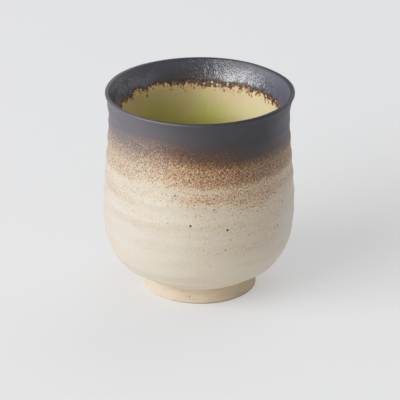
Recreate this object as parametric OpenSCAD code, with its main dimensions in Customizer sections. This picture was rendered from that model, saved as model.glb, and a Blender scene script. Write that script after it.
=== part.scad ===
// Tea cup without a handle. A thrown stoneware bowl stands on a turned foot ring, and
// four coats of glaze lie on the bowl's skin and meet edge to edge.
// Sizes are in millimetres. The axis of the cup is Z and it rests at Z = 0.

/* [Cup] */
// Height from the resting face to the top of the lip
cup_h = 89.5; // [80:0.5:110]
// Outside diameter at the lip
rim_d = 81; // [76:0.5:90]
// Thickness of the lip, which is fully rounded
lip_t = 1.5; // [1.3:0.1:2.2]
// How far the lip stands out past the neck, on the radius
lip_flare = 1.9; // [0.8:0.1:4]
// Depth of the neck below the top of the lip
neck_drop = 9.7; // [7:0.1:16]
// Lean of the slope inside the lip, from the upright
slope_angle = 31; // [20:1:40]
// Depth below the top of the lip at which that slope has turned into the upright wall
slope_drop = 12; // [10:0.5:18]

/* [Wall] */
// How far the belly, the widest line of the wall, stands out past the lip, on the radius
belly_out = 0.75; // [-1.5:0.05:6]
// Height of the belly above the resting face
belly_z = 38; // [32:0.5:46]
// Thickness of the wall at the neck, coats included
neck_t = 4.5; // [3.6:0.1:5.4]
// Thickness of the wall at the belly, coats included
wall_t = 3.8; // [2.8:0.1:4.8]
// Thickness of the floor at its centre, coat included
floor_t = 5.8; // [4:0.1:9]
// Fullness of the bowl's inside from the belly to the floor
bowl_fill = 0.8; // [0.6:0.02:0.86]

/* [Heel] */
// Angle of the trimmed facet that leaves the foot, above the level
heel_angle = 31.5; // [22:0.5:38]
// How far the ridge at the end of the facet stands in from the belly, on the radius
ridge_in = 6.65; // [5:0.05:9]
// Length on either side of the ridge over which it is rounded
ridge_soft = 2; // [1:0.1:3]
// Angle at which the wall leaves the ridge, above the level
ridge_angle = 60; // [48:1:68]
// Reach of the wall's curve where it leaves the ridge
ridge_pull = 3.2; // [2:0.2:8]
// Reach of the wall's curve where it meets the belly
belly_pull = 17.4; // [10:0.2:19]

/* [Foot] */
// Outside diameter of the foot ring
foot_d = 48.7; // [42:0.1:56]
// Height of the foot ring up to the joint with the bowl
foot_h = 6.8; // [5.5:0.1:9]
// Thickness of the foot ring at the resting face
foot_wall = 4.2; // [3:0.1:6]
// Draft of the foot ring's inner wall, in degrees
foot_draft = 5; // [1:0.5:12]
// Rounding of the two edges at the resting face
foot_edge = 0.4; // [0.3:0.1:1.3]
// Depth of the recess inside the foot ring
recess_depth = 4.8; // [3:0.1:5.2]

/* [Glaze] */
// Thickness of the glaze coats
coat_t = 0.4; // [0.3:0.05:0.6]
// Depth of the dark rim coat below the lip on the outside
rim_drop_out = 13.5; // [11:0.5:22]
// Depth of the dark rim coat below the lip on the inside
rim_drop_in = 8.5; // [5:0.5:20]
// Height of the speckled band under the dark rim coat
fade_h = 15; // [8:0.5:22]

/* [Hidden] */
$fn = 180;
eps = 0.02;
n_facet = 6;
n_ridge = 6;
n_heel = 20;
n_shoulder = 20;
n_flare = 8;
n_lip = 8;
n_slope = 12;
n_bowl = 32;
n_edge = 6;

rim_r = rim_d / 2;
neck_r = rim_r - lip_flare;
neck_z = cup_h - neck_drop;
belly_r = rim_r + belly_out;
foot_r = foot_d / 2;
floor_z = recess_depth + floor_t;
fade_top = cup_h - rim_drop_out;
fade_base = fade_top - fade_h;
lining_top = cup_h - rim_drop_in;

// The lip is a circle; outside, an arc flares into it from the neck
lip_r = lip_t / 2;
lip_c = [rim_r - lip_r, cup_h - lip_r];
lip_up = lip_c[1] - neck_z;
out_gap = neck_r - lip_c[0];
out_r = (pow(out_gap, 2) + pow(lip_up, 2) - pow(lip_r, 2)) / (2 * (lip_r - out_gap));
out_a = atan2(lip_up, out_gap + out_r);

// Reach of the inner slope's curve at the lip and at the wall, as shares of its depth
slope_reach = 0.7;
slope_turn = 0.2;

function ease(t) = t * t * (3 - 2 * t);
function bezier(a, b, c, d, t) =
    a * pow(1 - t, 3) + 3 * b * t * pow(1 - t, 2) + 3 * c * t * t * (1 - t) + d * pow(t, 3);
function on_arc(c, r, a) = [c[0] + r * cos(a), c[1] + r * sin(a)];
function shoulder(t) = [belly_r + (neck_r - belly_r) * ease(t), belly_z + (neck_z - belly_z) * t];
function inner_wall(t) = shoulder(t) - [wall_t + (neck_t - wall_t) * ease(t), 0];

// The skin of the finished cup, from the foot up the outside, over the lip and down to the floor
heel_from = [foot_r, foot_h];
facet_way = [cos(heel_angle), sin(heel_angle)];
ridge_way = [cos(ridge_angle), sin(ridge_angle)];
ridge = heel_from + facet_way * (belly_r - ridge_in - foot_r) / cos(heel_angle);
facet_to = ridge - ridge_soft * facet_way;
wall_from = ridge + ridge_soft * ridge_way;
wall_out = wall_from + ridge_pull * ridge_way;
wall_to = [belly_r, belly_z];
wall_in = wall_to - [0, belly_pull];
slope_t = (cup_h - slope_drop - belly_z) / (neck_z - belly_z);
slope_from = on_arc(lip_c, lip_r, 180 - slope_angle);
slope_to = inner_wall(slope_t);
slope_down = slope_from - slope_reach * slope_drop * [sin(slope_angle), cos(slope_angle)];
slope_up = slope_to + [0, slope_turn * slope_drop];
bowl_from = inner_wall(0);
bowl_to = [0, floor_z];
bowl_down = [bowl_from[0], belly_z - bowl_fill * (belly_z - floor_z)];
bowl_across = [bowl_fill * bowl_from[0], floor_z];

outside = concat(
    [for (i = [0:n_facet]) heel_from + (facet_to - heel_from) * i / n_facet],
    [for (i = [1:n_ridge]) bezier(facet_to, ridge, ridge, wall_from, i / n_ridge)],
    [for (i = [1:n_heel]) bezier(wall_from, wall_out, wall_in, wall_to, i / n_heel)],
    [for (i = [1:n_shoulder]) shoulder(i / n_shoulder)],
    [for (i = [1:n_flare]) on_arc([neck_r + out_r, neck_z], out_r, 180 - out_a * i / n_flare)],
    [for (i = [1:n_lip]) on_arc(lip_c, lip_r, (90 + out_a) * i / n_lip - out_a)]
);
inside = concat(
    [for (i = [1:n_lip]) on_arc(lip_c, lip_r, 90 + (90 - slope_angle) * i / n_lip)],
    [for (i = [1:n_slope]) bezier(slope_from, slope_down, slope_up, slope_to, i / n_slope)],
    [for (i = [n_shoulder - 1:-1:0]) inner_wall(slope_t * i / n_shoulder)],
    [for (i = [1:n_bowl]) bezier(bowl_from, bowl_down, bowl_across, bowl_to, i / n_bowl)]
);
skin = concat(outside, inside);
last = len(skin) - 1;
apex = len(outside) - 1;

// The clay lies one coat under the skin
function along(i) = skin[min(i + 1, last)] - skin[max(i - 1, 0)];
function inward(v) = [-v[1], v[0]] / norm(v);
clay = concat([for (i = [0:last - 1]) skin[i] + coat_t * inward(along(i))], [bowl_to - [0, coat_t]]);

skin_out = [for (i = [0:apex]) skin[i]];
clay_out = [for (i = [0:apex]) clay[i]];
skin_in = [for (i = [last:-1:apex + 1]) skin[i]];
clay_in = [for (i = [last:-1:apex + 1]) clay[i]];

// Stretches of a rising path, cut at given heights
function at(path, z) = [lookup(z, [for (p = path) [p[1], p[0]]]), z];
function above(path, z) = concat([at(path, z)], [for (p = path) if (p[1] > z + eps) p]);
function below(path, z) = concat([for (p = path) if (p[1] < z - eps) p], [at(path, z)]);
function back(path) = [for (i = [len(path) - 1:-1:0]) path[i]];

// The foot's inner wall, shared by the ring and by the bowl's register inside it
function bore(z) = foot_r - foot_wall - z * tan(foot_draft);

module turn(outline) {
    rotate_extrude(convexity = 6)
        polygon(outline);
}

module clay_bowl() {
    color([0.78, 0.68, 0.53])
        turn(concat(
            [[0, recess_depth], [bore(recess_depth), recess_depth], [bore(foot_h), foot_h], skin[0]],
            clay
        ));
}

module foot_ring() {
    outer_c = [foot_r - foot_edge, foot_edge];
    inner_c = [bore(foot_edge) + foot_edge / cos(foot_draft), foot_edge];
    inner_a = 180 + foot_draft;
    color([0.83, 0.74, 0.60])
        turn(concat(
            [heel_from, [bore(foot_h), foot_h]],
            [for (i = [0:n_edge]) on_arc(inner_c, foot_edge, inner_a + (270 - inner_a) * i / n_edge)],
            [for (i = [0:n_edge]) on_arc(outer_c, foot_edge, 90 * i / n_edge - 90)]
        ));
}

module cream_glaze() {
    color([0.87, 0.83, 0.75])
        turn(concat(below(skin_out, fade_base), back(below(clay_out, fade_base))));
}

module iron_fade() {
    color([0.56, 0.46, 0.36])
        turn(concat(
            above(below(skin_out, fade_top), fade_base),
            back(above(below(clay_out, fade_top), fade_base))
        ));
}

module rim_glaze() {
    color([0.27, 0.27, 0.29])
        turn(concat(
            above(skin_out, fade_top),
            back(above(skin_in, lining_top)),
            above(clay_in, lining_top),
            back(above(clay_out, fade_top))
        ));
}

module inner_glaze() {
    color([0.66, 0.63, 0.40])
        turn(concat(below(skin_in, lining_top), back(below(clay_in, lining_top))));
}

clay_bowl();
foot_ring();
cream_glaze();
iron_fade();
rim_glaze();
inner_glaze();
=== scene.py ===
"""Looks of a handleless tea cup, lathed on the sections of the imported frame.

The glaze coats, the foot ring and the clay bowl are turned from the outlines that a cut through
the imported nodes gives, then made uneven the way a thrown and dipped cup is.
Lengths are in millimetres until a mesh is written; the frame and Blender use metres.
"""

import logging
import math
from dataclasses import dataclass, field
from enum import Enum

import bpy
import numpy as np
from mathutils import Euler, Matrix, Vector

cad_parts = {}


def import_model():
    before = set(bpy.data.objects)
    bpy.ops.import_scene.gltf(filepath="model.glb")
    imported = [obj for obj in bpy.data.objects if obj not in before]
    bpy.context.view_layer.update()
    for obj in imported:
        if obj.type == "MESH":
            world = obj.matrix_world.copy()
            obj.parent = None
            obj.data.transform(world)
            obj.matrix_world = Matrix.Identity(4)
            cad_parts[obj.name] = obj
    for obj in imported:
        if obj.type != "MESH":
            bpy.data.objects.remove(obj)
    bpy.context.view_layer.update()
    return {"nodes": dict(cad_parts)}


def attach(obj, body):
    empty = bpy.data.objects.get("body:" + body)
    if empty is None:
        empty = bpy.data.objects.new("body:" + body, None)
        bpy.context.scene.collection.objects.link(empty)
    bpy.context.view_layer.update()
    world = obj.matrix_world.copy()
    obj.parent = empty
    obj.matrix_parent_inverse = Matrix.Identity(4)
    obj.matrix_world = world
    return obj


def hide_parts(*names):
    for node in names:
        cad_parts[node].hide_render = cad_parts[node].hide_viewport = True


MM = 0.001
TURN = 2 * math.pi
# Vertices closer than this, in metres, are one
WELD = 1e-7
# Places closer than this, in millimetres, touch
TOUCH = 1e-3
log = logging.getLogger("tea_cup")

Colour = tuple[float, float, float]
Place = tuple[float, float, float]
Span = tuple[float, float]
Stops = tuple[tuple[float, float], ...]
Tints = tuple[tuple[float, Colour], ...]
Socket = bpy.types.NodeSocket


class Coat(Enum):
    """The glaze coats in the order in which the skin runs from the foot to the floor."""

    CREAM = "cream_glaze"
    FADE = "iron_fade"
    RIM = "rim_glaze"
    LINING = "inner_glaze"


def srgb(red: float, green: float, blue: float) -> Colour:
    """Turns display values from 0 to 255 into linear light.

    Args:
        red: Red as shown on a display.
        green: Green as shown on a display.
        blue: Blue as shown on a display.

    Returns:
        The colour in linear light.
    """

    def linear(value: float) -> float:
        """Turns one display value into linear light."""
        v = value / 255
        return v / 12.92 if v <= 0.04045 else ((v + 0.055) / 1.055) ** 2.4

    return linear(red), linear(green), linear(blue)


def smoothstep(low: float, high: float, value: np.ndarray) -> np.ndarray:
    """Rises smoothly from 0 at low to 1 at high."""
    t = np.clip((value - low) / (high - low), 0, 1)
    return t * t * (3 - 2 * t)


def hump(value: np.ndarray, middle: float, width: float) -> np.ndarray:
    """Rises to 1 at a middle and falls away on both sides."""
    return np.exp(-(((value - middle) / width) ** 2))


def meets_axis(outline: np.ndarray) -> bool:
    """Tells whether both ends of an outline lie on the cup's axis."""
    return bool((outline[[0, -1], 0] < TOUCH).all())


def facing(place: Place, target: Place) -> Euler:
    """Finds how a lamp or a camera has to be turned to look at a target."""
    return (Vector(target) - Vector(place)).to_track_quat("-Z", "Y").to_euler()


def pick(piece: bpy.types.Object) -> None:
    """Makes one object the only selected and the active one.

    Args:
        piece: The object to pick.
    """
    bpy.ops.object.select_all(action="DESELECT")
    piece.select_set(True)
    bpy.context.view_layer.objects.active = piece


def cut_section(node: bpy.types.Object) -> np.ndarray:
    """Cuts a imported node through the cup's axis and follows the outline on the +X side.

    Args:
        node: A mesh object of the frame.

    Returns:
        Radius and height of the outline's corners in order, in millimetres. An outline that
        touches the axis starts and ends there.
    """
    copy = node.copy()
    copy.data = node.data.copy()
    copy.parent = None
    bpy.context.scene.collection.objects.link(copy)
    pick(copy)
    bpy.ops.object.mode_set(mode="EDIT")
    bpy.ops.mesh.select_all(action="SELECT")
    bpy.ops.mesh.remove_doubles(threshold=WELD)
    bpy.ops.mesh.select_all(action="SELECT")
    bpy.ops.mesh.bisect(
        plane_co=(0, 0, 0), plane_no=(0, 1, 0), clear_inner=True, clear_outer=True, threshold=10 * WELD
    )
    bpy.ops.object.mode_set(mode="OBJECT")
    points = [(v.co.x / MM, v.co.z / MM) for v in copy.data.vertices]
    beside: dict[int, list[int]] = {}
    for edge in copy.data.edges:
        a, b = edge.vertices
        if min(points[a][0], points[b][0]) > -TOUCH:
            beside.setdefault(a, []).append(b)
            beside.setdefault(b, []).append(a)
    ends = [v for v, near in beside.items() if len(near) == 1]
    walk = [min(ends or beside, key=lambda v: points[v][1])]
    while onward := [v for v in beside[walk[-1]] if v not in walk[-2:] and v != walk[0]]:
        walk.append(onward[0])
    mesh = copy.data
    bpy.data.objects.remove(copy)
    bpy.data.meshes.remove(mesh)
    return np.array([points[v] for v in walk])


def gap_to(points: np.ndarray, line: np.ndarray) -> np.ndarray:
    """Measures how far points lie from a chain of straight lines.

    Args:
        points: Places to measure from.
        line: Corners of the chain.

    Returns:
        The shortest distance for each point.
    """
    a, b = line[:-1], line[1:]
    along = b - a
    t = ((points[:, None] - a) * along).sum(-1) / np.maximum((along**2).sum(-1), 1e-12)
    near = a + np.clip(t, 0, 1)[..., None] * along
    return np.linalg.norm(points[:, None] - near, axis=-1).min(1)


@dataclass
class Curve:
    """A smooth curve through the corners of an outline, measured by its length."""

    knots: np.ndarray
    marks: np.ndarray = field(init=False)
    slopes: np.ndarray = field(init=False)

    def __post_init__(self) -> None:
        """Measures the chain of corners and its slopes."""
        step = np.linalg.norm(np.diff(self.knots, axis=0), axis=1)
        self.marks = np.concatenate([[0], np.cumsum(step)])
        self.slopes = np.gradient(self.knots, self.marks, axis=0)

    @property
    def length(self) -> float:
        """Length of the curve."""
        return float(self.marks[-1])

    def at(self, along: np.ndarray) -> np.ndarray:
        """Finds places on the curve.

        Args:
            along: Lengths from the start; past an end the curve runs straight on.

        Returns:
            Radius and height at each length.
        """
        past = along - np.clip(along, 0, self.length)
        along = along - past
        k = np.clip(np.searchsorted(self.marks, along, "right") - 1, 0, len(self.marks) - 2)
        span = self.marks[k + 1] - self.marks[k]
        t = ((along - self.marks[k]) / span)[..., None]
        span = span[..., None]
        return (
            (1 + 2 * t) * (1 - t) ** 2 * self.knots[k]
            + t * (1 - t) ** 2 * span * self.slopes[k]
            + t * t * (3 - 2 * t) * self.knots[k + 1]
            + t * t * (t - 1) * span * self.slopes[k + 1]
            + past[..., None] * np.where(past[..., None] > 0, self.slopes[-1], self.slopes[0])
        )

    def normal(self, along: np.ndarray) -> np.ndarray:
        """Finds the direction out of the glaze.

        Args:
            along: Lengths from the start.

        Returns:
            Unit vectors in radius and height.
        """
        near = 0.05
        run = self.at(along + near) - self.at(along - near)
        out = np.stack([run[..., 1], -run[..., 0]], -1)
        return out / np.linalg.norm(out, axis=-1, keepdims=True)


@dataclass(frozen=True)
class Ripple:
    """Smooth unevenness in space, summed from plane waves in set directions."""

    wavelength: float
    height: float
    seed: int
    squash: float = 1.0
    waves: int = 22
    spread: float = 0.35

    def at(self, place: np.ndarray) -> np.ndarray:
        """Evaluates the unevenness.

        Args:
            place: X, Y and Z of each place.

        Returns:
            Height at each place; its spread is the ripple's height.
        """
        draw = np.random.default_rng(self.seed)
        way = draw.normal(size=(self.waves, 3))
        way /= np.linalg.norm(way, axis=1, keepdims=True)
        way *= TURN / self.wavelength * draw.uniform(1 - self.spread, 1 + self.spread, (self.waves, 1))
        way[:, 2] *= self.squash
        phase = draw.uniform(0, TURN, self.waves)
        total = np.zeros(place.shape[:-1])
        for w, p in zip(way, phase):
            total += np.cos(place @ w + p)
        return total * self.height / math.sqrt(self.waves / 2)


@dataclass(frozen=True)
class Hand:
    """What the potter's hand and the fire leave on the true form, in millimetres."""

    drift: Ripple = Ripple(70, 0.9, 21)
    ring_crest: float = 61
    ring_pitch: float = 8.9
    ring_height: float = 0.05
    ring_gain: float = 0.085
    sway: Ripple = Ripple(38, 0.05, 31)
    pitting: Ripple = Ripple(6, 0.012, 33)
    foot_roll: float = 0.12
    lip_rise: float = 0.14
    lip_tilt: float = 0.20
    lip_dip: float = 0.3
    swell: float = 0.08
    neck_swell: float = 0.45
    coat_height: float = 0.10
    coat_roll: float = 0.12
    wrinkles: tuple[Ripple, ...] = (Ripple(2.4, 0.020, 41, 0.8), Ripple(1.15, 0.011, 43, 0.8))
    lining_crest: float = 60
    lining_pitch: float = 11
    lining_height: float = 0.05
    lining_sway: Ripple = Ripple(30, 0.05, 51)
    lip_shift: float = 0.25
    heel_shift: float = 0.35
    foot_shift: float = 0.45
    turning_lines: Ripple = Ripple(1.1, 0.012, 61)
    turning_sway: Ripple = Ripple(16, 0.03, 63)


HAND = Hand()


@dataclass(frozen=True)
class RaggedEdge:
    """The torn lower edge of the dark rim coat inside the cup: runs, bays and a rolled lip."""

    radius: float
    height: float
    slant: float = 0.004
    sag: float = 0.7
    side_sag: float = 0.5
    bay: float = 0.9
    bay_x: float = 22
    tongue: float = 0.3
    tongue_x: float = -6
    reach: float = 9
    waves: tuple[Ripple, ...] = (Ripple(46, 0.4, 3), Ripple(9, 0.32, 5), Ripple(3.2, 0.25, 9))
    runs: int = 110
    run_half: Span = (0.35, 0.95)
    run_long: Span = (-0.45, 0.65)
    long_run: float = 0.7
    seed: int = 11

    def drop(self, turn: np.ndarray) -> np.ndarray:
        """Finds how far the dark coat hangs below its mean height.

        Args:
            turn: Angles round the cup.

        Returns:
            The drop at each angle; bays between runs are negative.
        """
        draw = np.random.default_rng(self.seed)
        ring = np.stack([np.cos(turn), np.sin(turn), 0 * turn], -1) * self.radius
        x = ring[..., 0]
        back = smoothstep(-5, 5, ring[..., 1])
        total = self.sag + self.slant * x + self.side_sag * np.cos(turn) ** 8
        total += back * self.tongue * hump(x, self.tongue_x, self.reach)
        total -= back * self.bay * hump(x, self.bay_x, self.reach)
        for wave in self.waves:
            total += wave.at(ring)
        for _ in range(self.runs):
            middle = draw.uniform(-math.pi, math.pi)
            half = draw.uniform(*self.run_half)
            long = draw.uniform(*self.run_long) + draw.choice([0, 0, 0, 0, 0, self.long_run])
            off = (np.remainder(turn - middle + math.pi, TURN) - math.pi) * self.radius
            total += long * hump(off, 0, half)
        return total

    def above(self, turn: np.ndarray, z: np.ndarray) -> np.ndarray:
        """Finds how far places lie above the torn edge."""
        return z - (self.height - self.drop(turn))


@dataclass
class ThrownSkin:
    """The glazed skin from the foot over the lip to the floor, with a potter's unevenness."""

    curve: Curve
    spans: dict[Coat, Span]
    backs: dict[Coat, np.ndarray]
    edge: RaggedEdge
    apex: float = field(init=False)
    top: float = field(init=False)
    samples: int = 4001

    def __post_init__(self) -> None:
        """Finds the top of the lip."""
        along = np.linspace(0, self.curve.length, self.samples)
        z = self.curve.at(along)[:, 1]
        self.apex = float(along[z.argmax()])
        self.top = float(z.max())

    @classmethod
    def from_frame(cls, nodes: dict[str, bpy.types.Object]) -> "ThrownSkin":
        """Joins the outer outlines of the coats into one curve.

        Args:
            nodes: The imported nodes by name.

        Returns:
            The skin, with the stretch and the clay-side outline of each coat.
        """
        clay = cut_section(nodes["clay_bowl"])
        knots: list[np.ndarray] = []
        backs: dict[Coat, np.ndarray] = {}
        ends: dict[Coat, int] = {}
        tail = np.array([np.inf, 0])
        for coat in Coat:
            outline = cut_section(nodes[coat.value])
            bare = gap_to(outline, clay) > TOUCH
            if coat is Coat.CREAM:
                lowest = outline[outline[:, 1].argmin()]
                bare[np.hypot(*(outline - lowest).T) < TOUCH] = True
            if not meets_axis(outline):
                start = next(i for i in range(len(bare)) if bare[i] and not bare[i - 1])
                outline, bare = np.roll(outline, -start, 0), np.roll(bare, -start)
            chain, back = outline[bare], outline[~bare]
            nearest = np.linalg.norm(chain[[0, -1]] - tail, axis=1) if knots else chain[[0, -1], 1]
            if nearest[1] < nearest[0]:
                chain, back = chain[::-1], back[::-1]
            knots.append(chain[1:] if knots else chain)
            tail = chain[-1]
            ends[coat] = sum(map(len, knots)) - 1
            backs[coat] = back
        curve = Curve(np.concatenate(knots))
        spans: dict[Coat, Span] = {}
        start = 0.0
        for coat in Coat:
            stop = float(curve.marks[ends[coat]])
            spans[coat] = (start, stop)
            start = stop
        radius, height = curve.at(np.array([spans[Coat.RIM][1]]))[0]
        return cls(curve, spans, backs, RaggedEdge(float(radius), float(height)))

    def radius(self, z: float) -> float:
        """Finds the outside radius at a height."""
        radii, heights = self.curve.at(np.linspace(0, self.apex, self.samples)).T
        return float(np.interp(z, heights, radii))

    def band(self) -> Span:
        """Finds the heights between which the speckled band lies."""
        low, high = self.curve.at(np.array(self.spans[Coat.FADE]))[:, 1]
        return float(low), float(high)

    def lift(self, along: np.ndarray, turn: np.ndarray) -> np.ndarray:
        """Finds how far the fired skin stands off the true curve.

        Args:
            along: Lengths along the skin.
            turn: Angles round the cup.

        Returns:
            The lift at each place, outwards from the clay.
        """
        h = HAND
        place = self.true_place(along, turn)
        z = place[..., 2]
        past = along - self.apex
        outer = smoothstep(1.5, -1.5, past)
        # Throwing rings and slow waves on the outside
        throw = outer * smoothstep(4, 14, along) * smoothstep(self.top - 5, self.top - 17, z)
        drift = h.drift.at(place)
        turns = TURN * (z - h.ring_crest + drift) / h.ring_pitch
        strength = h.ring_height + h.ring_gain * smoothstep(34, 48, z)
        lift = throw * strength * (np.cos(turns) + 0.25 * np.cos(2 * turns + 0.6))
        lift += outer * (h.sway.at(place) + h.pitting.at(place))
        # The roll of glaze at the foot, the uneven lip and the fuller wall under it
        lift += h.foot_roll * hump(along, 0, 0.9) * (1 + 0.5 * np.sin(7 * turn + 1.3))
        level = h.lip_rise + h.lip_tilt * np.cos(turn + 1.35) - h.lip_dip * hump(turn, 0.58, 0.3)
        lift += level * hump(past, 0, 1.2)
        lift += outer * h.swell * smoothstep(14, 24, z) * smoothstep(self.top - 2, self.top - 7, z)
        left = np.clip(-np.cos(turn), 0, 1) ** 2
        lift += outer * left * h.neck_swell * hump(z, self.top - 6.2, 2.4)
        # The thick edge and the wrinkles of the dark coat inside, and rings in the lining
        above = self.edge.above(turn, z)
        inner = smoothstep(1.0, 4.0, past)
        roll = smoothstep(-0.6, 1.0, above) * (h.coat_height + h.coat_roll * smoothstep(7.0, 1.0, above))
        wrinkle = sum(ripple.at(place) for ripple in h.wrinkles)
        lift += inner * (roll + smoothstep(0.0, 1.5, above) * wrinkle)
        depth = smoothstep(self.edge.height - 4, self.edge.height - 14, z) * (past > 0)
        turns = TURN * (z - h.lining_crest + 2 * drift) / h.lining_pitch
        lift += depth * (h.lining_height * np.cos(turns) + h.lining_sway.at(place))
        return lift

    def true_place(self, along: np.ndarray, turn: np.ndarray) -> np.ndarray:
        """Finds places on the true body of revolution."""
        return sweep(self.curve.at(along), turn)

    def place(self, along: np.ndarray, turn: np.ndarray) -> np.ndarray:
        """Finds places on the fired skin."""
        way = sweep(self.curve.normal(along), turn)
        return lean(self.true_place(along, turn) + way * self.lift(along, turn)[..., None])


def sweep(flat: np.ndarray, turn: np.ndarray) -> np.ndarray:
    """Turns radius and height round the axis."""
    radius, turn = np.broadcast_arrays(flat[..., 0], turn)
    return np.stack([radius * np.cos(turn), radius * np.sin(turn), flat[..., 1] + 0 * turn], -1)


def lean(place: np.ndarray) -> np.ndarray:
    """Shifts the lip, the heel and the foot a little off the axis, as on the wheel.

    Args:
        place: X, Y and Z of each place.

    Returns:
        The shifted places.
    """
    z = place[..., 2]
    moved = place.copy()
    moved[..., 0] += HAND.lip_shift * smoothstep(76, 88, z) + HAND.foot_shift * smoothstep(8, 0, z)
    moved[..., 0] -= HAND.heel_shift * hump(z, 22, 16)
    return moved


@dataclass
class Turning:
    """A lathed mesh, with its outline known as lengths and angles."""

    piece: bpy.types.Object
    rings: int
    steps: int

    @classmethod
    def spin(cls, name: str, outline: np.ndarray, steps: int) -> "Turning":
        """Turns an outline round the cup's axis.

        Args:
            name: Name of the new object.
            outline: Radius and height of the corners. It is closed unless both ends lie on the axis.
            steps: Number of steps in a full turn.

        Returns:
            The turned mesh.
        """
        bpy.ops.object.select_all(action="DESELECT")
        bpy.ops.mesh.primitive_circle_add(vertices=len(outline), radius=1.0)
        piece = bpy.context.object
        piece.name = piece.data.name = name
        flat = np.stack([outline[:, 0], 0 * outline[:, 0], outline[:, 1]], 1) * MM
        piece.data.vertices.foreach_set("co", flat.astype(np.float32).ravel())
        for layer in list(piece.data.uv_layers):
            piece.data.uv_layers.remove(layer)
        if meets_axis(outline):
            last = len(outline) - 1
            for edge in piece.data.edges:
                edge.select = set(edge.vertices) == {0, last}
            for vertex in piece.data.vertices:
                vertex.select = vertex.index in (0, last)
            bpy.ops.object.mode_set(mode="EDIT")
            bpy.ops.mesh.select_mode(type="EDGE")
            bpy.ops.mesh.delete(type="EDGE_FACE")
            bpy.ops.object.mode_set(mode="OBJECT")
        bpy.ops.object.modifier_add(type="SCREW")
        screw = piece.modifiers[-1]
        screw.axis = "Z"
        screw.angle = TURN
        screw.steps = screw.render_steps = steps
        screw.use_smooth_shade = True
        bpy.ops.object.modifier_apply(modifier=screw.name)
        return cls(piece, len(outline), steps)

    @property
    def angles(self) -> np.ndarray:
        """Angle of each step, as a column."""
        return (np.arange(self.steps) * TURN / self.steps)[:, None]

    def write(self, place: np.ndarray) -> None:
        """Writes the shaped places into the mesh."""
        self.piece.data.vertices.foreach_set("co", (place * MM).astype(np.float32).ravel())
        self.piece.data.update()

    def note(self, name: str, values: np.ndarray) -> None:
        """Writes a number for each vertex that the materials can read."""
        layer = self.piece.data.attributes.new(name, "FLOAT", "POINT")
        layer.data.foreach_set("value", values.astype(np.float32).ravel())

    def unwrap(self, across: np.ndarray, shown: np.ndarray, strips: int) -> None:
        """Lays the faces out by angle and length, for the bake of the finish.

        Args:
            across: Share of the shown length at each ring, from 0 to 1.
            shown: Whether each ring belongs to the shown side.
            strips: Number of strips into which the turn is cut.
        """
        mesh = self.piece.data
        corner = np.zeros(len(mesh.loops), np.int64)
        mesh.loops.foreach_get("vertex_index", corner)
        first = np.zeros(len(mesh.polygons), np.int64)
        count = np.zeros(len(mesh.polygons), np.int64)
        mesh.polygons.foreach_get("loop_start", first)
        mesh.polygons.foreach_get("loop_total", count)
        face = np.repeat(np.arange(len(count)), count)
        step, ring = corner // self.rings, corner % self.rings
        low = np.minimum.reduceat(step, first)[face]
        high = np.maximum.reduceat(step, first)[face]
        seam = (high - low) > self.steps // 2
        step = np.where(seam & (step == 0), self.steps, step)
        base = np.minimum.reduceat(step, first)[face]
        strip = base * strips // self.steps
        u = step * strips / self.steps - strip
        v = across[ring]
        front = np.logical_and.reduceat(shown[ring], first)[face]
        margin = 0.006
        hidden = 0.05
        x = margin + u * (1 - 2 * margin)
        y = (strip + margin * strips + v * (1 - 2 * margin * strips)) / strips
        y = np.where(front, hidden + (1 - hidden) * y, hidden * (0.1 + 0.7 * (strip + v) / strips))
        layer = mesh.uv_layers.new(name="OFBake", do_init=False)
        layer.data.foreach_set("uv", np.stack([x, y], 1).astype(np.float32).ravel())

    def close(self, sharp: float) -> None:
        """Welds the poles on the axis, turns every face outwards and smooths the shading.

        Args:
            sharp: Angle between faces, in degrees, past which an edge stays sharp.
        """
        pick(self.piece)
        bpy.ops.object.mode_set(mode="EDIT")
        bpy.ops.mesh.select_all(action="SELECT")
        bpy.ops.mesh.remove_doubles(threshold=WELD)
        bpy.ops.mesh.dissolve_degenerate(threshold=WELD / 10)
        bpy.ops.mesh.select_all(action="SELECT")
        bpy.ops.mesh.normals_make_consistent(inside=False)
        bpy.ops.object.mode_set(mode="OBJECT")
        bpy.ops.object.shade_smooth_by_angle(angle=math.radians(sharp))


@dataclass(frozen=True)
class Speck:
    """An iron speck: angle from the front, height, radius and strength."""

    turn: float
    height: float
    radius: float
    strength: float = 1.0

    def place(self, skin: ThrownSkin) -> Place:
        """Finds the speck on the skin.

        Args:
            skin: The skin of the cup.

        Returns:
            X, Y and Z in millimetres.
        """
        turn = math.radians(self.turn - 90)
        spot = lean(sweep(np.array([skin.radius(self.height), self.height]), np.array(turn)))
        return tuple(float(v) for v in spot)


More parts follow.
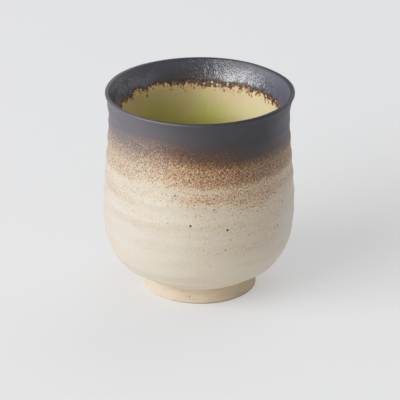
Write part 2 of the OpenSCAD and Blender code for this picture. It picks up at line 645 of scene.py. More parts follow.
class Sheet:
    """A small hand for laying out a material's nodes."""

    def __init__(self, name: str) -> None:
        """Starts an empty material.

        Args:
            name: Name of the material.
        """
        self.material = bpy.data.materials.new(name)
        self.material.use_nodes = True
        self.tree = self.material.node_tree
        self.tree.nodes.clear()
        self.output = self.tree.nodes.new("ShaderNodeOutputMaterial")

    def node(self, kind: str, **settings: object) -> bpy.types.Node:
        """Adds a node.

        Args:
            kind: Name of the node type after "ShaderNode".
            settings: Properties of the node.

        Returns:
            The new node.
        """
        made = self.tree.nodes.new("ShaderNode" + kind)
        for key, value in settings.items():
            setattr(made, key, value)
        return made

    def feed(self, socket: Socket, value: object) -> None:
        """Links a socket, or sets a constant on it.

        Args:
            socket: The input to feed.
            value: Another socket, a number, or a colour or vector.
        """
        if isinstance(value, bpy.types.NodeSocket):
            self.tree.links.new(value, socket)
        elif socket.type == "RGBA":
            socket.default_value = (*value, 1.0)
        else:
            socket.default_value = value

    def math(self, work: str, a: object, b: object = 0.0, clamp: bool = False) -> Socket:
        """Adds a sum on numbers.

        Args:
            work: Name of the operation.
            a: First value.
            b: Second value.
            clamp: Whether to hold the result between 0 and 1.

        Returns:
            The result.
        """
        made = self.node("Math", operation=work, use_clamp=clamp)
        self.feed(made.inputs[0], a)
        self.feed(made.inputs[1], b)
        return made.outputs[0]

    def chain(self, work: str, first: object, *others: object) -> Socket:
        """Runs one kind of sum over several numbers, from left to right.

        Args:
            work: Name of the operation.
            first: First value.
            others: The other values.

        Returns:
            The result.
        """
        total = first
        for other in others:
            total = self.math(work, total, other)
        return total

    def plus(self, *values: object) -> Socket:
        """Adds numbers."""
        return self.chain("ADD", *values)

    def less(self, a: object, b: object) -> Socket:
        """Takes one number from another."""
        return self.math("SUBTRACT", a, b)

    def times(self, *values: object) -> Socket:
        """Multiplies numbers."""
        return self.chain("MULTIPLY", *values)

    def most(self, *values: object) -> Socket:
        """Finds the largest of several numbers."""
        return self.chain("MAXIMUM", *values)

    def blend(self, share: object, a: object, b: object) -> Socket:
        """Mixes two colours.

        Args:
            share: Share of the second colour.
            a: First colour.
            b: Second colour.

        Returns:
            The mixed colour.
        """
        made = self.node("Mix", data_type="RGBA", clamp_factor=True)
        self.feed(made.inputs["Factor"], share)
        self.feed(made.inputs[6], a)
        self.feed(made.inputs[7], b)
        return made.outputs[2]

    def rise(self, value: object, low: object, high: object, to: Span = (0.0, 1.0)) -> Socket:
        """Rises smoothly between two values.

        Args:
            value: The value to look at.
            low: Where the rise starts.
            high: Where the rise ends.
            to: Results before and after the rise.

        Returns:
            The risen value.
        """
        made = self.node("MapRange", interpolation_type="SMOOTHSTEP")
        self.feed(made.inputs["Value"], value)
        self.feed(made.inputs["From Min"], low)
        self.feed(made.inputs["From Max"], high)
        made.inputs["To Min"].default_value, made.inputs["To Max"].default_value = to
        return made.outputs["Result"]

    def ramp(self, value: object, stops: Tints) -> Socket:
        """Runs a value through colours.

        Args:
            value: The value to look at.
            stops: Values and their colours, rising.

        Returns:
            The colour.
        """
        low, high = stops[0][0], stops[-1][0]
        share = self.node("MapRange")
        self.feed(share.inputs["Value"], value)
        self.feed(share.inputs["From Min"], low)
        self.feed(share.inputs["From Max"], high)
        made = self.node("ValToRGB")
        line = made.color_ramp.elements
        for place, _ in stops[1:-1]:
            line.new((place - low) / (high - low))
        for element, (_, colour) in zip(line, stops):
            element.color = (*colour, 1)
        self.feed(made.inputs["Fac"], share.outputs["Result"])
        return made.outputs["Color"]

    def level(self, value: object, stops: Stops) -> Socket:
        """Runs a value through numbers."""
        greys = tuple((place, (number, number, number)) for place, number in stops)
        return self.times(self.ramp(value, greys), 1.0)

    def millimetres(self, up: float = 1.0, across: float = 1.0) -> Socket:
        """Reads places on the piece in millimetres.

        Args:
            up: Factor on the height.
            across: Factor on the two lengths across.

        Returns:
            The place.
        """
        made = self.node("VectorMath", operation="MULTIPLY")
        self.feed(made.inputs[0], self.node("TexCoord").outputs["Object"])
        made.inputs[1].default_value = (across / MM, across / MM, up / MM)
        return made.outputs[0]

    def axes(self, place: Socket) -> tuple[Socket, Socket, Socket]:
        """Splits a place into its three lengths.

        Args:
            place: The place to split.

        Returns:
            X, Y and Z.
        """
        made = self.node("SeparateXYZ")
        self.feed(made.inputs[0], place)
        return made.outputs[0], made.outputs[1], made.outputs[2]

    def grain(
        self, place: Socket, size: float, detail: float = 2.0, rough: float = 0.5, twist: float = 0.0
    ) -> Socket:
        """Adds soft noise.

        Args:
            place: Where to look, in millimetres.
            size: Size of the noise's features in millimetres.
            detail: Number of finer layers.
            rough: Strength of the finer layers.
            twist: How far the features curl.

        Returns:
            Noise around 0.5.
        """
        made = self.node("TexNoise")
        self.feed(made.inputs["Vector"], place)
        made.inputs["Scale"].default_value = 1 / size
        made.inputs["Detail"].default_value = detail
        made.inputs["Roughness"].default_value = rough
        made.inputs["Distortion"].default_value = twist
        return made.outputs["Fac"]

    def around(self, place: Socket, size: float, detail: float = 2.0, rough: float = 0.5) -> Socket:
        """Adds soft noise around zero."""
        return self.less(self.grain(place, size, detail, rough), 0.5)

    def cells(self, place: Socket, size: float) -> tuple[Socket, Socket]:
        """Scatters points in space.

        Args:
            place: Where to look, in millimetres.
            size: Mean spacing of the points in millimetres.

        Returns:
            The distance to the nearest point in millimetres and that point's own random number.
        """
        made = self.node("TexVoronoi", feature="F1")
        self.feed(made.inputs["Vector"], place)
        made.inputs["Scale"].default_value = 1 / size
        split = self.node("SeparateColor")
        self.feed(split.inputs[0], made.outputs["Color"])
        return self.times(made.outputs["Distance"], size), split.outputs[0]

    def likely(self, odds: Socket, chance: Socket, over: float = 0.0) -> Socket:
        """Tells which of the scattered points are there."""
        return self.rise(self.less(odds, chance), over, over + 0.05)

    def dots(
        self, place: Socket, size: float, edge: Span, odds: Socket, over: float = 0.0
    ) -> tuple[Socket, Socket]:
        """Scatters round dots and finds their share and each dot's own random number."""
        near, chance = self.cells(place, size)
        return self.times(self.rise(near, *edge), self.likely(odds, chance, over)), chance

    def mix(self, share: object, a: object, b: object) -> Socket:
        """Mixes two numbers.

        Args:
            share: Share of the second number.
            a: First number.
            b: Second number.

        Returns:
            The mixed number.
        """
        made = self.node("Mix", data_type="FLOAT", clamp_factor=True)
        self.feed(made.inputs["Factor"], share)
        self.feed(made.inputs[2], a)
        self.feed(made.inputs[3], b)
        return made.outputs[0]

    def spots(self, place: Socket, specks: tuple[Speck, ...], skin: ThrownSkin) -> Socket:
        """Lays out single specks.

        Args:
            place: Where to look, in millimetres.
            specks: The specks.
            skin: The skin of the cup.

        Returns:
            The share of iron.
        """
        spots: list[Socket] = []
        for speck in specks:
            gap = self.node("VectorMath", operation="DISTANCE")
            self.feed(gap.inputs[0], place)
            gap.inputs[1].default_value = speck.place(skin)
            rim, core = speck.radius * 1.25, speck.radius * 0.55
            spots.append(self.rise(gap.outputs["Value"], rim, core, (0.0, speck.strength)))
        return self.most(*spots)

    def attribute(self, name: str) -> Socket:
        """Reads a number that the mesh carries."""
        return self.node("Attribute", attribute_name=name).outputs["Fac"]

    def finish(
        self,
        colour: object,
        roughness: object,
        height: object,
        strength: float,
        shine: float = 0.5,
        ior: float = 1.5,
    ) -> bpy.types.Material:
        """Closes the material with its surface.

        Args:
            colour: Base colour.
            roughness: Roughness.
            height: Fine relief in millimetres.
            strength: Strength of the relief.
            shine: Level of the mirror reflection; 0.5 is plain glass.
            ior: Refraction of the glaze.

        Returns:
            The finished material.
        """
        shader = self.node("BsdfPrincipled")
        self.feed(shader.inputs["Base Color"], colour)
        self.feed(shader.inputs["Roughness"], roughness)
        shader.inputs["Specular IOR Level"].default_value = shine
        shader.inputs["IOR"].default_value = ior
        bump = self.node("Bump")
        bump.inputs["Strength"].default_value = strength
        bump.inputs["Distance"].default_value = MM
        self.feed(bump.inputs["Height"], height)
        self.feed(shader.inputs["Normal"], bump.outputs["Normal"])
        self.feed(self.output.inputs["Surface"], shader.outputs[0])
        return self.material


def thin_shaded_lip(s: Sheet, x: Socket, start: float, end: float) -> Socket:
    """Lays out the crest of the lip, where the glaze runs thin and painted shade darkens it, less on the lit
    left.
    """
    return s.times(s.rise(s.attribute("past_lip"), start, end), s.rise(x, -34, 12, (0.55, 1.0)))


@dataclass(frozen=True)
class Fade:
    """How the outside glaze darkens up one side, from 0 in the cream to 1 in the charcoal."""

    cream: float
    wash: float
    ring: float
    gap: float
    sand: float
    dusk: float
    dark: float

    def tone(self, s: Sheet, height: Socket, band: Span) -> Socket:
        """Lays out the darkening over the height.

        Args:
            s: The material's nodes.
            height: Height on the cup.
            band: Heights between which the speckled band lies.

        Returns:
            The tone.
        """
        low, high = band
        stops = (
            (low - 41, self.cream),
            (low - 11, self.wash),
            (low - 6, self.ring),
            (low - 1.7, self.gap),
            (low + 0.8, self.sand),
            (high - 8, self.sand + 0.04),
            (high - 4, self.dusk),
            (high + 6, self.dark),
        )
        return s.level(height, stops)


@dataclass(frozen=True)
class OutsideGlaze:
    """Charcoal that thins through stippled iron brown into cream, shared by the outside coats."""

    warm: Tints = (
        (0.00, srgb(205, 198, 183)), (0.20, srgb(198, 178, 150)), (0.30, srgb(187, 155, 116)),
        (0.42, srgb(162, 120, 77)), (0.64, srgb(115, 77, 41)), (0.76, srgb(91, 54, 24)),
        (0.90, srgb(63, 39, 20)), (1.00, srgb(50, 36, 28)),
    )
    cool: Tints = (
        (0.00, srgb(205, 199, 189)), (0.20, srgb(198, 179, 154)), (0.38, srgb(170, 145, 118)),
        (0.50, srgb(146, 126, 112)), (0.72, srgb(118, 104, 98)), (1.00, srgb(98, 94, 103)),
    )
    # The charcoal across the cup: partly the glaze thinning to the left, partly painted light, with painted
    # sheen on the lit left, painted shade on the right and a painted reflection at the right edge
    charcoal: Tints = (
        (-36, srgb(97, 93, 102)), (-17, srgb(88, 85, 92)), (-6, srgb(68, 66, 72)),
        (6, srgb(52, 50, 59)), (28, srgb(35, 34, 43)), (36, srgb(77, 76, 88)),
    )
    left: Fade = Fade(0.00, 0.06, 0.15, 0.07, 0.25, 0.49, 0.99)
    middle: Fade = Fade(0.04, 0.12, 0.265, 0.18, 0.39, 0.82, 1.04)
    right: Fade = Fade(0.06, 0.16, 0.32, 0.28, 0.55, 0.93, 1.06)
    scatter: Stops = ((0, 0.28), (0.2, 0.7), (0.4, 1.15), (0.7, 1.6), (0.9, 1.3), (1, 0.4))
    dot_odds: Stops = ((0, 0.0), (0.06, 0.06), (0.24, 0.6), (0.4, 0.85), (0.6, 0.8), (1, 0.1))
    dot_size: float = 0.82
    gap_size: float = 1.05
    freckle_odds: Stops = ((0, 0.02), (0.08, 0.09), (0.16, 0.28), (0.26, 0.45), (0.5, 0.4), (1, 0.1))
    freckle_size: float = 1.9
    freckle_strength: float = 0.62
    # Warmer cream towards the foot and on the heel, lighter there as painted light
    lower: Colour = srgb(230, 216, 194)
    heel: Colour = srgb(242, 223, 201)
    silt: Colour = srgb(140, 118, 90)
    chalk: Colour = srgb(246, 240, 228)
    sandy: Stops = ((10, 0.4), (45, 0.55), (60, 1.0), (63, 0.5), (76, 0.0))
    iron: Colour = srgb(56, 32, 12)
    # Painted shade on the crest of the lip, over its thin glaze, and under the lip on the right
    crest: Colour = srgb(22, 22, 32)
    specks: tuple[Speck, ...] = (
        Speck(-5, 44.3, 0.62), Speck(17, 41.7, 0.58), Speck(16, 32.5, 0.42, 0.7), Speck(9, 51.3, 0.45, 0.8),
        Speck(19, 37.0, 0.36, 0.6), Speck(-14.6, 57.1, 0.50, 0.8), Speck(9, 56.0, 0.45, 0.8),
        Speck(37, 47.5, 0.40, 0.7), Speck(60, 46.5, 0.70, 0.45), Speck(-44, 49.5, 0.45, 0.5),
        Speck(7, 25.5, 0.35, 0.5), Speck(51, 37.0, 0.70, 0.35), Speck(54, 37.4, 0.70, 0.35),
        Speck(3, 60.0, 0.45, 0.7), Speck(21.5, 55.8, 0.42, 0.6), Speck(-29, 69.7, 0.40, 0.5),
    )
    roughness: float = 0.5
    relief: float = 0.03
    shine: float = 0.65

    def material(self, skin: ThrownSkin) -> bpy.types.Material:
        """Lays out the glaze.

        Args:
            skin: The skin of the cup.

        Returns:
            The material.
        """
        s = Sheet("outside_glaze")
        place = s.millimetres()
        x, _, z = s.axes(place)
        # Mottling and dots scatter the tone, which then picks the colour
        tone = self.tone(s, x, z, skin.band())
        fine = s.plus(s.around(place, 0.34, 2.0, 0.6), s.times(s.around(place, 0.65, 1.0), 0.5))
        reach = s.times(s.level(tone, self.scatter), s.rise(x, -4, -30, (1.0, 1.4)))
        mottle = s.times(fine, reach)
        spread = s.plus(tone, mottle, self.stipple(s, place, z, tone))
        right = s.times(s.rise(x, 14, 37, (0.0, 0.75)), s.rise(z, 66, 58, (0.45, 1.0)))
        sides = s.most(s.rise(x, -4, -32), right)
        colour = s.blend(sides, s.ramp(spread, self.warm), s.ramp(spread, self.cool))
        # Where the tone reaches charcoal, its colour carries the painted sheen, shade and reflection across
        # the cup
        burnt = s.mix(0.35, tone, spread)
        colour = s.blend(s.rise(burnt, 0.84, 1.08), colour, s.ramp(x, self.charcoal))
        # The cream gets warmer and lighter towards the foot, the lightening painted light against the shade
        # of the downward-facing heel, and is sandy all over
        colour = s.blend(s.rise(z, 36, 12, (0.0, 0.5)), colour, self.lower)
        colour = s.blend(s.rise(z, 15, 8, (0.0, 0.85)), colour, self.heel)
        sand = s.times(s.around(place, 0.6, 2.0, 0.6), s.level(z, self.sandy))
        colour = s.blend(s.rise(sand, 0.0, 0.25, (0.0, 0.3)), colour, self.silt)
        colour = s.blend(s.rise(sand, 0.0, -0.25, (0.0, 0.3)), colour, self.chalk)
        colour = s.blend(self.freckles(s, place, tone, skin), colour, self.iron)
        # The charcoal is darker on the crest of the lip, thin glaze with painted shade over it, and under the
        # lip on the right as painted shade
        shade = s.times(s.rise(z, 80, 87, (0.0, 0.5)), s.rise(x, 12, 30))
        colour = s.blend(s.most(shade, thin_shaded_lip(s, x, -0.8, -0.2)), colour, self.crest)
        grit = s.plus(s.times(mottle, 0.10), s.grain(place, 0.3))
        return s.finish(colour, self.roughness, s.times(grit, self.relief), 0.6, self.shine)

    def tone(self, s: Sheet, x: Socket, z: Socket, band: Span) -> Socket:
        """Lays out how far the glaze has gone from cream to charcoal.

        Args:
            s: The material's nodes.
            x: Length across the cup.
            z: Height.
            band: Heights between which the speckled band lies.

        Returns:
            0 in the cream, 1 in the charcoal.
        """
        cloud = s.times(s.around(s.millimetres(2.5), 34), 5)
        patch = s.times(s.around(s.millimetres(1.6), 8), 1.6)
        shift = s.times(s.plus(cloud, patch), s.rise(z, 58, 68, (0.22, 1.0)))
        height = s.plus(z, shift, s.rise(x, -20, -38, (0.0, 1.3)))
        left, middle, right = (side.tone(s, height, band) for side in (self.left, self.middle, self.right))
        tone = s.mix(s.rise(x, -20, 3), left, middle)
        tone = s.mix(s.rise(x, 3, 27), tone, right)
        wisp = s.around(s.millimetres(6.0), 26, 3.0)
        tone = s.plus(tone, s.times(wisp, s.rise(z, 62, 50, (0.0, 0.28))))
        return s.less(tone, s.times(s.rise(x, 28, 40), s.rise(z, 74, 66, (0.0, 0.07))))

    def stipple(self, s: Sheet, place: Socket, z: Socket, tone: Socket) -> Socket:
        """Lays out the small dark dots of the fade and the pale gaps between them.

        Args:
            s: The material's nodes.
            place: Where to look, in millimetres.
            z: Height.
            tone: How far the glaze has gone from cream to charcoal.

        Returns:
            What the dots add to the tone.
        """
        odds = s.level(tone, self.dot_odds)
        dark, _ = s.dots(place, self.dot_size, (0.36, 0.2), odds)
        pale, _ = s.dots(place, self.gap_size, (0.46, 0.2), odds)
        return s.less(s.times(dark, s.rise(z, 42, 52, (0.2, 0.36))), s.times(pale, 0.15))

    def freckles(self, s: Sheet, place: Socket, tone: Socket, skin: ThrownSkin) -> Socket:
        """Lays out the iron specks.

        Args:
            s: The material's nodes.
            place: Where to look, in millimetres.
            tone: How far the glaze has gone from cream to charcoal.
            skin: The skin of the cup.

        Returns:
            The share of iron.
        """
        near, chance = s.cells(place, self.freckle_size)
        there = s.likely(s.level(tone, self.freckle_odds), chance)
        edge = s.plus(s.times(chance, 0.5), 0.34)
        share = s.times(s.rise(near, edge, 0.18), there, self.freckle_strength)
        return s.most(share, s.spots(place, self.specks, skin))


@dataclass(frozen=True)
class InsideGlaze:
    """Satin charcoal over a lining that turns from cream to yellow green with depth."""

    dark: Colour = srgb(43, 43, 59)
    # Painted sheen on the dark band
    slate: Colour = srgb(84, 84, 102)
    # Painted shade on the crest of the lip, over its thin glaze
    crest: Colour = srgb(20, 20, 32)
    char: Colour = srgb(31, 21, 15)
    scorch: Colour = srgb(56, 32, 18)
    umber: Colour = srgb(96, 63, 33)
    rust: Colour = srgb(158, 98, 42)
    tan: Colour = srgb(217, 184, 134)
    blush: Colour = srgb(240, 212, 186)
    # Painted light on the right of the lining
    pale: Colour = srgb(238, 228, 198)
    # Painted shade on the left of the lining
    olive: Colour = srgb(150, 142, 84)
    crust_width: Stops = (
        (-40, 1.6), (-27, 0.5), (-20, 0.15), (-13, 0.4), (-6, 1.5),
        (3, 2.1), (9, 1.8), (14, 1.1), (24, 1.4), (40, 1.2),
    )
    crust_odds: Stops = ((-4.2, 0.0), (-2.6, 0.12), (-0.8, 0.55), (0.6, 1.0))
    lining: Tints = (
        (20, srgb(184, 186, 84)), (50, srgb(196, 194, 90)), (60, srgb(210, 206, 108)),
        (66, srgb(218, 211, 132)), (71, srgb(222, 209, 150)), (76, srgb(222, 201, 150)),
        (80, srgb(216, 190, 142)),
    )
    shine: float = 0.82
    refraction: float = 1.6

    def material(self) -> bpy.types.Material:
        """Lays out the glaze.

        Returns:
            The material.
        """
        s = Sheet("inside_glaze")
        place = s.millimetres()
        x, _, z = s.axes(place)
        # Fingers and crumbs tear the edge of the dark band
        above = s.attribute("above_edge")
        finger = s.times(s.around(s.millimetres(0.5), 0.8, 1.5), 2.6)
        torn = s.plus(above, finger, s.times(s.around(place, 0.5), 2.0))
        burnt = s.times(s.rise(x, -18, -8), s.rise(x, 15, 5, (0.0, 0.8)))
        clear = s.less(torn, burnt)
        # The dark band is lightened to slate by painted sheen on the left, on the right and along its
        # wrinkles, is sooty over the crust, and the lip's thin glaze is painted darker as shade
        colour = self.crust(s, place, x, above, torn, self.depth(s, x, z))
        curl = s.grain(s.millimetres(0.6), 0.8, 1.5, twist=1.2)
        # Painted sheen lightens the band to slate on the left, on the right and along the wrinkles
        painted_sheen_and_shade = s.plus(s.times(s.rise(x, -10, -24), s.rise(above, 6.5, 2.5)), s.rise(x, 14, 34))
        painted_sheen_and_shade = s.math("ADD", painted_sheen_and_shade, s.rise(curl, 0.5, 0.68, (-0.08, 0.3)), clamp=True)
        colour = s.blend(s.rise(clear, 0.6, 1.6), colour, s.blend(painted_sheen_and_shade, self.dark, self.slate))
        soot = self.soot(s, place, x, above, torn)
        colour = s.blend(soot, colour, self.char)
        # The crest of the lip: thin glaze with painted shade over it
        colour = s.blend(thin_shaded_lip(s, x, 2.0, 0.8), colour, self.crest)
        # Wrinkles on the band, which shines most above the crust
        wrinkle = s.plus(curl, s.times(s.grain(place, 0.5), 0.15))
        relief = s.times(wrinkle, s.rise(clear, -1.8, 0.8), 0.23)
        upper = s.mix(s.rise(above, 4.5, 8.0), 0.25, s.rise(x, 4, 18, (0.3, 0.55)))
        rough = s.most(upper, s.rise(clear, 1.6, 0.2, (0.25, 0.62)))
        rough = s.mix(s.times(soot, 0.7), rough, 0.34)
        return s.finish(colour, rough, relief, 0.8, self.shine, self.refraction)

    def soot(self, s: Sheet, place: Socket, x: Socket, above: Socket, torn: Socket) -> Socket:
        """Lays out the black lumps on the lower part of the dark band.

        Args:
            s: The material's nodes.
            place: Where to look, in millimetres.
            x: Length across the cup.
            above: Height above the torn edge.
            torn: The same, with the edge's fingers and crumbs.

        Returns:
            The share of soot.
        """
        burnt = s.times(s.rise(x, -26, -13), s.rise(x, 12, 0))
        low = s.less(above, s.times(burnt, 3.0))
        lump, luck = s.cells(place, 1.4)
        lumps = s.times(s.rise(lump, 0.7, 0.35), s.rise(luck, 0.5, 0.44), s.rise(low, 4.0, 1.2))
        haze = s.times(burnt, s.rise(above, 8.0, 2.0))
        return s.times(s.most(lumps, haze), s.rise(torn, 0.0, 0.6))

    def depth(self, s: Sheet, x: Socket, z: Socket) -> Socket:
        """Lays out the lining, which gets greener with depth, paler to the right as painted light and olive
        on the left as painted shade.

        Args:
            s: The material's nodes.
            x: Length across the cup.
            z: Height.

        Returns:
            The colour.
        """
        cloud = s.times(s.around(s.millimetres(0.5), 12), 13)
        streak = s.times(s.around(s.millimetres(0.12), 1.6), 11)
        colour = s.ramp(s.plus(z, cloud, streak), self.lining)
        # Painted light makes the lining paler to the right, painted shade olive on the left
        colour = s.blend(s.rise(x, -3, 32, (0.0, 0.5)), colour, self.pale)
        shade = s.times(s.rise(x, 10, -12, (0.0, 0.42)), s.rise(x, -36, -14, (0.7, 1.0)))
        return s.blend(shade, colour, self.olive)

    def crust(
        self, s: Sheet, place: Socket, x: Socket, above: Socket, torn: Socket, lining: Socket
    ) -> Socket:
        """Lays out the burnt crust between the lining and the dark band.

        Args:
            s: The material's nodes.
            place: Where to look, in millimetres.
            x: Length across the cup.
            above: Height above the torn edge.
            torn: The same, with the edge's fingers and crumbs.
            lining: Colour of the lining.

        Returns:
            The colour.
        """
        # A tan stain with pale gaps under the crust
        stain = s.plus(above, s.times(s.around(place, 2.6), 7))
        colour = s.blend(s.times(s.rise(stain, -3.4, 0.2), 0.7), lining, self.tan)
        far, luck = s.cells(place, 1.7)
        gap = s.times(s.rise(far, 0.65, 0.35), s.rise(luck, 0.42, 0.38), s.rise(above, -2.4, -0.8))
        colour = s.blend(s.times(gap, 0.7), colour, self.blush)
        # The crust itself, with loose drops and crumbs below it
        thick = s.level(x, self.crust_width)
        odds = s.level(s.plus(above, thick), self.crust_odds)
        drops, chance = s.dots(s.millimetres(0.6), 1.2, (0.6, 0.36), odds)
        crumbs, _ = s.dots(s.millimetres(0.7), 0.75, (0.4, 0.24), odds, 0.1)
        burnt = s.plus(torn, s.times(s.around(place, 1.6, 1.0), 5.0), thick)
        crust = s.most(s.rise(burnt, -0.5, 0.1), drops, crumbs)
        crust = s.times(crust, s.mix(s.rise(torn, 1.0, 0.3), 1.0, s.less(1.0, gap)))
        brown = s.blend(s.rise(x, 4, -22), self.rust, self.umber)
        colour = s.blend(s.times(crust, 0.92), colour, brown)
        # Its core is scorched, with embers of rust and coal
        core = s.plus(burnt, s.times(chance, 1.2))
        ember = s.blend(s.rise(s.around(place, 0.5), 0.02, 0.16), self.scorch, self.rust)
        coal = s.around(s.millimetres(0.8), 0.9, 1.0)
        ember = s.blend(s.rise(coal, -0.03, 0.1), ember, self.char)
        return s.blend(s.times(crust, s.rise(core, 0.2, 0.9)), colour, ember)


@dataclass(frozen=True)
class BareClay:
    """Unglazed stoneware with fine grog and turning lines."""

    name: str
    pale: Colour = srgb(217, 203, 180)
    deep: Colour = srgb(204, 186, 158)
    speck: Colour = srgb(140, 104, 72)
    # Painted shade in the grooves of the turning lines
    painted_sheen_and_shade: Colour = srgb(170, 144, 110)
    # Painted contact shadow along the bottom edge of the foot
    contact_shadow: Colour = srgb(112, 92, 70)
    # Painted light on the left of the clay
    painted_lit_clay: Colour = srgb(208, 200, 192)
    # Painted shade on the right of the clay
    painted_shaded_clay: Colour = srgb(198, 174, 143)
    iron: Colour = srgb(78, 52, 34)
    specks: tuple[Speck, ...] = (Speck(-10.2, 3.4, 0.38, 0.65), Speck(-17, 5.4, 0.32, 0.4))
    roughness: float = 0.85

    def material(self, skin: ThrownSkin) -> bpy.types.Material:
        """Lays out the clay.

        Args:
            skin: The skin of the cup.

        Returns:
            The material.
        """
        s = Sheet(self.name)
        place = s.millimetres()
        x, _, z = s.axes(place)
        colour = s.blend(s.grain(s.millimetres(6.0), 12, 3.0), self.deep, self.pale)
        # Painted light on the lit left of the clay and painted shade on its right
        colour = s.blend(s.rise(x, 0, -22, (0.0, 0.45)), colour, self.painted_lit_clay)
        colour = s.blend(s.rise(x, 0, 22, (0.0, 0.45)), colour, self.painted_shaded_clay)
        spot = s.rise(s.grain(place, 0.9, 1.0), 0.70, 0.76)
        colour = s.blend(s.times(spot, 0.6), colour, self.speck)
        # The grooves of the turning lines are painted darker as shade, over their relief
        lines = s.grain(s.millimetres(1.0, 0.06), 0.5)
        colour = s.blend(s.rise(lines, 0.48, 0.66, (0.0, 0.28)), colour, self.painted_sheen_and_shade)
        # Painted contact shadow along the bottom edge of the foot, weaker on the lit left
        contact_shadow_share = s.times(s.rise(z, 1.1, 0.1, (0.0, 0.5)), s.rise(x, -16, 0, (0.1, 1.0)))
        colour = s.blend(contact_shadow_share, colour, self.contact_shadow)
        colour = s.blend(s.spots(place, self.specks, skin), colour, self.iron)
        grog = s.times(s.grain(place, 0.35), 0.08)
        return s.finish(colour, self.roughness, s.plus(grog, s.times(lines, 0.12)), 0.7)


@dataclass
class GlazeCoat:
    """A glaze coat: a dense shown side on the skin and a plain back on the clay."""

    coat: Coat
    name: str
    slot: str
    spacing: float
    steps: int
    strips: int
    fewest: int = 8
    back_rings: int = 14
    back_limit: int = 20
    sharp: float = 50

    def build(self, skin: ThrownSkin) -> bpy.types.Object:
        """Turns the coat and lays it on the fired skin.

        Args:
            skin: The skin of the cup.

        Returns:
            The new piece.
        """
        start, stop = skin.spans[self.coat]
        along = np.linspace(start, stop, max(self.fewest, round((stop - start) / self.spacing)) + 1)
        front = skin.curve.at(along)
        whole = skin.backs[self.coat]
        back = whole[:: len(whole) // self.back_rings] if len(whole) > self.back_limit else whole
        back = np.concatenate([back[:-1], whole[-1:]])
        turned = Turning.spin(self.name, np.concatenate([front, back]), self.steps)
        turn = turned.angles
        shape = skin.place(along[None, :], turn)
        turned.write(np.concatenate([shape, lean(sweep(back[None], turn))], 1))
        above = skin.edge.above(turn, shape[..., 2])
        turned.note("above_edge", np.concatenate([above, np.repeat(above[:, -1:], len(back), 1)], 1))
        past = np.concatenate([along, np.full(len(back), stop)]) - skin.apex
        turned.note("past_lip", past[None, :] + 0 * turn)
        across = np.concatenate([(along - start) / (stop - start), np.linspace(1, 0, len(back))])
        turned.unwrap(across, np.arange(turned.rings) < len(along), self.strips)
        turned.close(self.sharp)
        return turned.piece

    def dress(self, piece: bpy.types.Object, outside: bpy.types.Material, inside: bpy.types.Material) -> None:
        """Gives the coat its glaze and its place in the frame.

        Args:
            piece: The built coat.
            outside: Glaze of the outside.
            inside: Glaze of the inside.
        """
        mesh = piece.data
        mesh.materials.clear()
        if self.coat is Coat.LINING:
            mesh.materials.append(inside)
        elif self.coat is Coat.RIM:
            mesh.materials.append(outside)
            mesh.materials.append(inside)
            past = mesh.attributes["past_lip"].data
            for face in mesh.polygons:
                face.material_index = int(sum(past[v].value for v in face.vertices) > 0)
        else:
            mesh.materials.append(outside)
        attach(piece, "root")
        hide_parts(self.coat.value)


@dataclass
class PlainTurning:
    """A turned piece of bare clay: the foot ring or the bowl under the coats."""

    node: str
    name: str
    slot: str
    steps: int
    spacing: float
    low: float
    high: float
    core: float = 2
    land: float = 0.05
    sharp: float = 40

    def build(self, nodes: dict[str, bpy.types.Object]) -> bpy.types.Object:
        """Turns the piece, with fine rings where it shows.

        Args:
            nodes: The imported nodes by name.

        Returns:
            The new piece.
        """
        outline = cut_section(nodes[self.node])
        closed = not meets_axis(outline)
        corners = np.concatenate([outline, outline[:1]]) if closed else outline
        points: list[np.ndarray] = []
        for a, b in zip(corners[:-1], corners[1:]):
            shown = self.low <= min(a[1], b[1]) and max(a[1], b[1]) <= self.high
            parts = max(1, round(np.linalg.norm(b - a) / self.spacing)) if shown else 1
            points += [a + (b - a) * i / parts for i in range(parts)]
        if not closed:
            points.append(corners[-1])
        line = np.array(points)
        turned = Turning.spin(self.name, line, self.steps)
        turn = turned.angles
        radius, z = line[:, 0], line[:, 1]
        place = sweep(line[None], turn)
        wall = (radius > self.core) & (z > self.land) & (z < self.high - self.land)
        cuts = HAND.turning_lines.at(np.stack([0 * z, 0 * z, z], -1))
        push = wall * (cuts + HAND.turning_sway.at(place))
        place[..., 0] += push * np.cos(turn)
        place[..., 1] += push * np.sin(turn)
        turned.write(lean(place))
        turned.unwrap(np.linspace(0, 1, len(line)), np.ones(len(line), bool), 1)
        turned.close(self.sharp)
        return turned.piece

    def dress(self, piece: bpy.types.Object, clay: bpy.types.Material) -> None:
        """Gives the piece its clay and its place in the frame.

        Args:
            piece: The built piece.
            clay: Material of the clay.
        """
        piece.data.materials.clear()
        piece.data.materials.append(clay)
        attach(piece, "root")
        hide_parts(self.node)


@dataclass(frozen=True)
class Lamp:
    """A soft box that looks at the cup."""

    name: str
    place: Place
    wide: float
    tall: float
    power: float
    mirrored_only: bool = False
    target: Place = (0, 0, 0.045)

    def build(self) -> bpy.types.Object:
        """Sets up the lamp.

        Returns:
            The lamp.
        """
        light = bpy.data.lights.new(self.name, "AREA")
        light.shape = "ELLIPSE"
        light.size, light.size_y = self.wide, self.tall
        light.energy = self.power
        lamp = bpy.data.objects.new(self.name, light)
        lamp.location = self.place
        lamp.visible_diffuse = not self.mirrored_only
        lamp.rotation_euler = facing(self.place, self.target)
        bpy.context.scene.collection.objects.link(lamp)
        return lamp


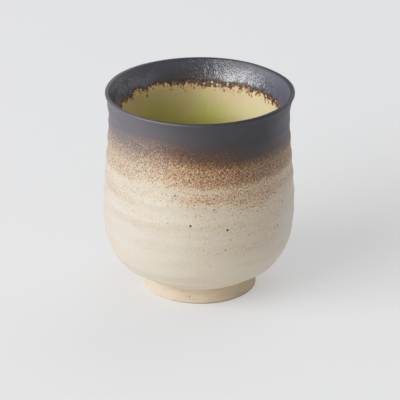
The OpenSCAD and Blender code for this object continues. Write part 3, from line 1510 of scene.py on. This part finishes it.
@dataclass
class Studio:
    """The floor, the light and the camera of the photograph."""

    lamps: tuple[Lamp, ...]
    sky: float
    eye: Place
    target: Place
    lens: float
    sensor: float = 36
    sight: float = 50
    floor_size: float = 12
    floor: Colour = srgb(230, 231, 233)
    glow: Colour = srgb(229, 229, 229)
    glow_share: float = 0.37

    def build(self) -> None:
        """Sets up the stage."""
        scene = bpy.context.scene
        scene.view_settings.view_transform = "Standard"
        world = bpy.data.worlds.new("room")
        world.use_nodes = True
        sky = world.node_tree.nodes["Background"]
        sky.inputs["Color"].default_value = (1, 1, 1, 1)
        sky.inputs["Strength"].default_value = self.sky
        scene.world = world
        bpy.ops.mesh.primitive_plane_add(size=self.floor_size)
        floor = bpy.context.object
        floor.name = "table_top"
        floor.data.materials.append(self.paper())
        for lamp in self.lamps:
            lamp.build()
        self.camera()

    def paper(self) -> bpy.types.Material:
        """Lays out the pale paper, whose shadow the camera sees a little lighter.

        Returns:
            The material.
        """
        s = Sheet("table_paper")
        shade, glow, both = s.node("BsdfDiffuse"), s.node("Emission"), s.node("MixShader")
        s.feed(shade.inputs["Color"], self.floor)
        s.feed(glow.inputs["Color"], self.glow)
        path = s.node("LightPath")
        seen = s.most(path.outputs["Is Camera Ray"], path.outputs["Is Glossy Ray"])
        s.feed(both.inputs[0], s.times(seen, self.glow_share))
        s.feed(both.inputs[1], shade.outputs[0])
        s.feed(both.inputs[2], glow.outputs[0])
        s.feed(s.output.inputs["Surface"], both.outputs[0])
        return s.material

    def camera(self) -> None:
        """Sets the camera where the photograph was taken."""
        data = bpy.data.cameras.new("camera")
        data.sensor_width = self.sensor
        data.lens = self.lens
        data.clip_end = self.sight
        eye = bpy.data.objects.new("camera", data)
        eye.location = self.eye
        eye.rotation_euler = facing(self.eye, self.target)
        bpy.context.scene.collection.objects.link(eye)
        bpy.context.scene.camera = eye


COATS = (
    GlazeCoat(Coat.CREAM, "cream_coat", "cream_glaze", spacing=0.55, steps=512, strips=2),
    GlazeCoat(Coat.FADE, "speckled_band", "iron_speckle", spacing=0.45, steps=512, strips=4),
    GlazeCoat(Coat.RIM, "charcoal_rim", "charcoal_glaze", spacing=0.33, steps=768, strips=3),
    GlazeCoat(Coat.LINING, "green_lining", "green_glaze", spacing=0.75, steps=512, strips=1),
)
CLAY = (
    PlainTurning("foot_ring", "turned_foot", "bare_clay", steps=384, spacing=0.3, low=-1, high=10),
    PlainTurning("clay_bowl", "thrown_bowl", "stoneware", steps=256, spacing=0.4, low=-1, high=5),
)
STUDIO = Studio(
    lamps=(
        Lamp("key", (-1.471, -0.937, 0.979), 2.2, 0.75, 34.5),
        Lamp("fill", (0.766, 1.327, 1.286), 2.4, 2.4, 11.0),
        Lamp("window", (-1.27, -1.50, 0.50), 1.6, 0.6, 15.0, mirrored_only=True),
    ),
    sky=0.48,
    eye=(0.00035, -1.0770, 0.50818),
    target=(0.00035, 0, 0.03833),
    lens=243.74,
)


def main() -> None:
    """Builds the cup's pieces in order, dresses them and sets the stage."""
    logging.basicConfig(level=logging.INFO, format="%(name)s: %(message)s")
    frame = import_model()
    nodes = frame["nodes"]
    skin = ThrownSkin.from_frame(nodes)
    outside = OutsideGlaze().material(skin)
    inside = InsideGlaze().material()
    for coat in COATS:
        piece = coat.build(skin)
        coat.dress(piece, outside, inside)
        log.info("%s: %d faces", piece.name, len(piece.data.polygons))
    for turning in CLAY:
        piece = turning.build(nodes)
        turning.dress(piece, BareClay(turning.slot).material(skin))
        log.info("%s: %d faces", piece.name, len(piece.data.polygons))
    STUDIO.build()
    bpy.context.view_layer.update()


if __name__ == "__main__":
    main()
